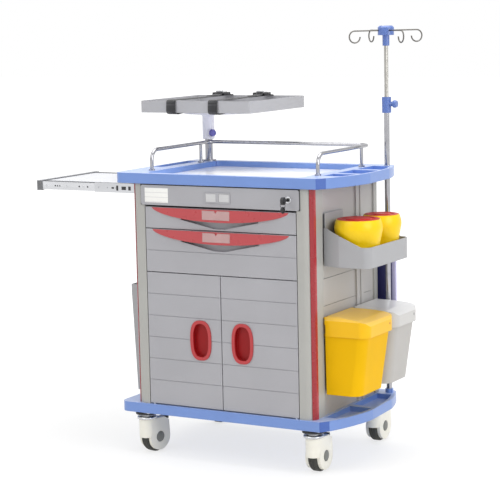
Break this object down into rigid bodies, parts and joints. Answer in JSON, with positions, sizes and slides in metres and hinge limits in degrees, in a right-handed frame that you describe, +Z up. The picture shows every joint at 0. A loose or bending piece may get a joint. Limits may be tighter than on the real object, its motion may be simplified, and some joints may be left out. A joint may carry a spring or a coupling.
{
  "type": "crash cart",
  "caption": "Wheeled hospital emergency cart with drawers, cupboard, side bins, drip pole, monitor shelf and pull-out side shelf.",
  "frame": {"origin": "on the floor under the middle of the whole object's bounding box", "axes": "+Z up, +X towards the side with the bins, -Y towards the drawer fronts"},
  "size_m": [1.3214, 0.7318, 1.462],
  "materials": {
    "blue_shell": "moulded, semi-gloss",
    "worktop_sheet": "glossy, translucent",
    "column_plastic": "satin",
    "red_strip": "glossy",
    "panel_plastic": "fine texture",
    "front_plastic": "fine texture",
    "box_plastic": "fine texture",
    "red_handle": "semi-gloss",
    "label_window": "clear, pink over red",
    "polished_tube": "polished",
    "slide_steel": "zinc bright",
    "shelf_aluminium": "anodised",
    "shelf_panel": "smooth",
    "blue_clamp": "semi-gloss",
    "pale_sleeve": "semi-gloss",
    "violet_knob": "glossy",
    "tray_grey": "satin",
    "strap_web": "woven webbing",
    "pocket_grey": "fine texture",
    "yellow_plastic": "semi-gloss",
    "grey_plastic": "semi-gloss",
    "sharps_yellow": "semi-gloss",
    "sharps_lid_red": "semi-gloss",
    "board_blue": "semi-gloss",
    "caster_cream": "smooth",
    "tyre_rubber": "smooth",
    "pedal_black": "satin",
    "key_black": "satin"
  },
  "bodies": {
    "cart": {"base_tray": "blue_shell", "top_plate": "blue_shell", "worktop": "worktop_sheet", "columns": "column_plastic", "accent_strips": "red_strip", "body_panels": "panel_plastic", "cabinet_decks": "panel_plastic", "lock_panel": "front_plastic", "guard_rail": "polished_tube", "slide_rails": "slide_steel", "shelf_post": "shelf_aluminium", "lower_pole": "polished_tube", "pole_clamp": "blue_clamp", "chart_pocket": "pocket_grey", "sharps_tray": "pocket_grey", "fittings": "slide_steel"},
    "lock_key": {"lock_key": "key_black"},
    "spare_key": {"spare_key": "key_black"},
    "upper_drawer": {"upper_box": "box_plastic", "upper_front": "front_plastic", "upper_pull": "red_handle", "upper_window": "label_window"},
    "lower_drawer": {"lower_box": "box_plastic", "lower_front": "front_plastic", "lower_pull": "red_handle", "lower_window": "label_window"},
    "left_door": {"left_door": "front_plastic", "left_cup": "red_handle"},
    "right_door": {"right_door": "front_plastic", "right_cup": "red_handle"},
    "drip_pole_top": {"upper_pole": "polished_tube", "hook_head": "blue_clamp", "drip_hooks": "polished_tube"},
    "pole_knob": {"pole_knob": "blue_clamp"},
    "shelf_sleeve": {"post_sleeve": "pale_sleeve"},
    "sleeve_knob": {"sleeve_knob": "violet_knob"},
    "monitor_shelf": {"monitor_tray": "tray_grey", "tray_straps": "strap_web"},
    "side_shelf": {"shelf_frame": "shelf_aluminium", "shelf_plate": "shelf_panel"},
    "shelf_links": {"shelf_links": "slide_steel"},
    "front_bin": {"front_bin": "yellow_plastic"},
    "front_bin_lid": {"front_bin_lid": "yellow_plastic"},
    "rear_bin": {"rear_bin": "grey_plastic"},
    "rear_bin_lid": {"rear_bin_lid": "grey_plastic"},
    "front_pot": {"front_pot": "sharps_yellow"},
    "front_pot_lid": {"front_pot_lid": "sharps_lid_red"},
    "rear_pot": {"rear_pot": "sharps_yellow"},
    "rear_pot_lid": {"rear_pot_lid": "sharps_lid_red"},
    "back_board": {"back_board": "board_blue"},
    "front_left_fork": {"front_left_fork": "caster_cream"},
    "front_left_wheel": {"front_left_wheel": "tyre_rubber"},
    "front_right_fork": {"front_right_fork": "caster_cream"},
    "front_right_wheel": {"front_right_wheel": "tyre_rubber"},
    "rear_left_fork": {"rear_left_fork": "caster_cream"},
    "rear_left_wheel": {"rear_left_wheel": "tyre_rubber"},
    "rear_right_fork": {"rear_right_fork": "caster_cream"},
    "rear_right_wheel": {"rear_right_wheel": "tyre_rubber"},
    "front_left_pedal": {"front_left_pedal": "pedal_black"},
    "front_right_pedal": {"front_right_pedal": "pedal_black"}
  },
  "joints": [
    {"name": "upper_drawer_slide", "type": "slide", "parent": "cart", "child": "upper_drawer", "axis": [0, -1, 0], "range_m": [0, 0.3]},
    {"name": "lower_drawer_slide", "type": "slide", "parent": "cart", "child": "lower_drawer", "axis": [0, -1, 0], "range_m": [0, 0.3]},
    {"name": "left_door_hinge", "type": "hinge", "parent": "cart", "child": "left_door", "pos_m": [-0.13225, -0.30895, 0.408], "axis": [0, 0, -1], "range_deg": [0, 110]},
    {"name": "right_door_hinge", "type": "hinge", "parent": "cart", "child": "right_door", "pos_m": [0.42275, -0.30895, 0.408], "axis": [0, 0, 1], "range_deg": [0, 110]},
    {"name": "side_shelf_slide", "type": "slide", "parent": "cart", "child": "side_shelf", "axis": [1, 0, 0], "range_m": [0, 0.44]},
    {"name": "shelf_link_slide", "type": "slide", "parent": "cart", "child": "shelf_links", "axis": [1, 0, 0], "range_m": [0, 0.22]},
    {"name": "drip_pole_slide", "type": "slide", "parent": "cart", "child": "drip_pole_top", "axis": [0, 0, 1], "range_m": [-0.15, 0.25]},
    {"name": "shelf_sleeve_slide", "type": "slide", "parent": "cart", "child": "shelf_sleeve", "axis": [0, 0, 1], "range_m": [0, 0.06]},
    {"name": "monitor_shelf_turn", "type": "hinge", "parent": "shelf_sleeve", "child": "monitor_shelf", "pos_m": [-0.10675, 0.16005, 1.171], "axis": [0, 0, 1], "continuous": true},
    {"name": "front_bin_lid_hinge", "type": "hinge", "parent": "front_bin", "child": "front_bin_lid", "pos_m": [0.49575, -0.13795, 0.515], "axis": [0, -1, 0], "range_deg": [0, 85]},
    {"name": "rear_bin_lid_hinge", "type": "hinge", "parent": "rear_bin", "child": "rear_bin_lid", "pos_m": [0.49575, 0.07205, 0.515], "axis": [0, -1, 0], "range_deg": [0, 85]},
    {"name": "front_bin_lift", "type": "slide", "parent": "cart", "child": "front_bin", "axis": [0, 0, 1], "range_m": [0, 0.012]},
    {"name": "rear_bin_lift", "type": "slide", "parent": "cart", "child": "rear_bin", "axis": [0, 0, 1], "range_m": [0, 0.012]},
    {"name": "front_pot_lift", "type": "slide", "parent": "cart", "child": "front_pot", "axis": [0, 0, 1], "range_m": [0, 0.08]},
    {"name": "rear_pot_lift", "type": "slide", "parent": "cart", "child": "rear_pot", "axis": [0, 0, 1], "range_m": [0, 0.08]},
    {"name": "back_board_lift", "type": "slide", "parent": "cart", "child": "back_board", "axis": [0, 0, 1], "range_m": [0, 0.15]},
    {"name": "lock_key_turn", "type": "hinge", "parent": "cart", "child": "lock_key", "pos_m": [0.40925, -0.32095, 0.911], "axis": [0, 1, 0], "range_deg": [0, 90]},
    {"name": "spare_key_swing", "type": "hinge", "parent": "lock_key", "child": "spare_key", "pos_m": [0.40925, -0.35695, 0.906], "axis": [1, 0, 0], "range_deg": [-20, 20]},
    {"name": "pole_knob_turn", "type": "hinge", "parent": "cart", "child": "pole_knob", "pos_m": [0.52925, 0.18305, 1.195], "axis": [1, 0, 0], "range_deg": [0, 180]},
    {"name": "sleeve_knob_turn", "type": "hinge", "parent": "shelf_sleeve", "child": "sleeve_knob", "pos_m": [-0.18475, 0.18105, 1.086], "axis": [0.8192, -0.5736, 0], "range_deg": [0, 180]},
    {"name": "front_pot_lid_turn", "type": "hinge", "parent": "front_pot", "child": "front_pot_lid", "pos_m": [0.58025, -0.15295, 0.837], "axis": [0, 0, 1], "range_deg": [0, 60]},
    {"name": "rear_pot_lid_turn", "type": "hinge", "parent": "rear_pot", "child": "rear_pot_lid", "pos_m": [0.59325, -0.00295, 0.837], "axis": [0, 0, 1], "range_deg": [0, 60]},
    {"name": "front_left_swivel", "type": "hinge", "parent": "cart", "child": "front_left_fork", "pos_m": [-0.18175, -0.28795, 0.12], "axis": [0, 0, 1], "continuous": true},
    {"name": "front_right_swivel", "type": "hinge", "parent": "cart", "child": "front_right_fork", "pos_m": [0.47225, -0.28795, 0.12], "axis": [0, 0, 1], "continuous": true},
    {"name": "rear_left_swivel", "type": "hinge", "parent": "cart", "child": "rear_left_fork", "pos_m": [-0.18175, 0.17405, 0.12], "axis": [0, 0, 1], "continuous": true},
    {"name": "rear_right_swivel", "type": "hinge", "parent": "cart", "child": "rear_right_fork", "pos_m": [0.47225, 0.17405, 0.12], "axis": [0, 0, 1], "continuous": true},
    {"name": "front_left_pedal_hinge", "type": "hinge", "parent": "front_left_fork", "child": "front_left_pedal", "pos_m": [-0.16825, -0.22949, 0.114], "axis": [-0.9744, 0.225, 0], "range_deg": [0, 15]},
    {"name": "front_right_pedal_hinge", "type": "hinge", "parent": "front_right_fork", "child": "front_right_pedal", "pos_m": [0.47225, -0.22795, 0.114], "axis": [-1, 0, 0], "range_deg": [0, 15]},
    {"name": "front_left_wheel_spin", "type": "hinge", "parent": "front_left_fork", "child": "front_left_wheel", "pos_m": [-0.17343, -0.2519, 0.054], "axis": [0.9744, -0.225, 0], "continuous": true},
    {"name": "front_right_wheel_spin", "type": "hinge", "parent": "front_right_fork", "child": "front_right_wheel", "pos_m": [0.47225, -0.25095, 0.054], "axis": [1, 0, 0], "continuous": true},
    {"name": "rear_left_wheel_spin", "type": "hinge", "parent": "rear_left_fork", "child": "rear_left_wheel", "pos_m": [-0.18175, 0.21105, 0.054], "axis": [1, 0, 0], "continuous": true},
    {"name": "rear_right_wheel_spin", "type": "hinge", "parent": "rear_right_fork", "child": "rear_right_wheel", "pos_m": [0.47225, 0.21105, 0.054], "axis": [1, 0, 0], "continuous": true}
  ],
  "couplings": [
    {"joint": "shelf_link_slide", "follows": "side_shelf_slide", "ratio": 0.5}
  ]
}
